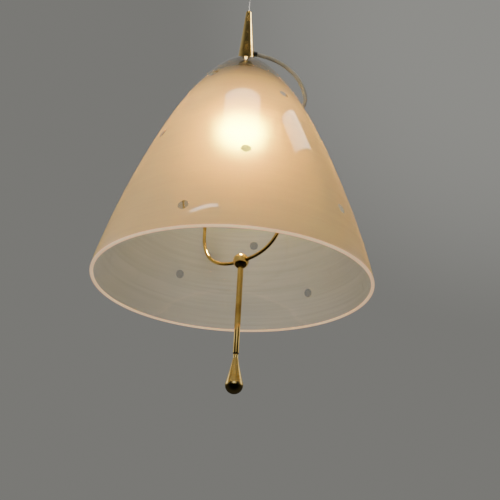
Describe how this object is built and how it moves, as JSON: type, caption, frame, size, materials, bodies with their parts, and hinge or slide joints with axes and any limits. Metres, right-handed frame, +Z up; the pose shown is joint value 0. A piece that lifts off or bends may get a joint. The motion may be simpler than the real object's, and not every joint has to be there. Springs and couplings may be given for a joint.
{
  "type": "pendant lamp",
  "caption": "Pendant lamp with a bell-shaped opal glass shade, a brass cone cover, and a brass bow inside that carries a hanging ball, rod and drop handle; hung on a steel wire.",
  "frame": {"origin": "middle of the ceiling plate's flat top face, where it meets the ceiling", "axes": "+Z up out of the ceiling face, the lamp hangs below along -Z; +X to the right and -Y towards the viewer, with the power lead leaving towards +X"},
  "size_m": [0.38, 0.38, 0.72],
  "materials": {
    "brass": "polished",
    "steel": "plain",
    "opal_glass": "polished, thin opal layer",
    "rubber": "matt",
    "porcelain": "glazed",
    "contact_brass": "plain",
    "bulb_glass": "frosted",
    "nickel": "plain",
    "insulator": "glossy",
    "lead_sheath": "satin",
    "core_sheath": "satin",
    "black_plastic": "satin"
  },
  "bodies": {
    "ceiling": {"ceiling_plate": "brass", "ceiling_screw_1": "steel", "ceiling_screw_2": "steel", "ceiling_cap": "brass", "wire_gripper": "brass", "gripper_screw": "steel"},
    "wire": {"suspension_wire": "steel", "wire_nipple": "brass"},
    "lamp": {"bow_nut_1": "steel", "bow_nut_2": "steel", "bow_nut_3": "steel", "bow_nut_4": "steel", "bow_plate": "brass", "centre_contact": "contact_brass", "clamp_nut": "steel", "clamp_washer": "steel", "coil_tie_1": "black_plastic", "coil_tie_2": "black_plastic", "glass_shade": "opal_glass", "handle_bow": "brass", "hanger_body": "brass", "hanger_cap": "brass", "holder_grub_screw": "steel", "inner_core_1": "core_sheath", "inner_core_2": "core_sheath", "lampholder_cap": "brass", "lampholder_insert": "porcelain", "lampholder_skirt": "brass", "lead_coil": "lead_sheath", "lead_gland": "rubber", "lead_run": "lead_sheath", "lead_tail": "lead_sheath", "lock_ring": "brass", "lower_washer": "rubber", "plug_body": "black_plastic", "plug_pin_1": "nickel", "plug_pin_2": "nickel", "side_contact_1": "contact_brass", "side_contact_2": "contact_brass", "terminal_screw_1": "steel", "terminal_screw_2": "steel", "threaded_tube": "brass", "upper_washer": "rubber"},
    "cone": {"cone_cover": "brass"},
    "bulb": {"bulb_cap": "nickel", "bulb_insulator": "insulator", "bulb_tip": "nickel", "bulb_glass": "bulb_glass", "bulb_stem": "bulb_glass", "bulb_filament": "nickel"},
    "handle": {"handle_ball": "brass", "handle_rod": "brass", "handle_drop": "brass"}
  },
  "joints": [
    {"name": "lamp_swing", "type": "hinge", "parent": "ceiling", "child": "wire", "pos_m": [0, 0, -0.038], "axis": [0, 1, 0], "range_deg": [-12, 12]},
    {"name": "lamp_turn", "type": "hinge", "parent": "wire", "child": "lamp", "pos_m": [0, 0, -0.165], "axis": [0, 0, 1], "continuous": true},
    {"name": "cone_lift", "type": "slide", "parent": "lamp", "child": "cone", "axis": [0, 0, 1], "range_m": [0, 0.025]},
    {"name": "bulb_turn", "type": "hinge", "parent": "lamp", "child": "bulb", "pos_m": [0, 0, -0.32], "axis": [0, 0, 1], "continuous": true},
    {"name": "handle_swing", "type": "hinge", "parent": "lamp", "child": "handle", "pos_m": [0.01, 0, -0.536], "axis": [0.7431, -0.6691, 0], "range_deg": [-35, 35]}
  ]
}
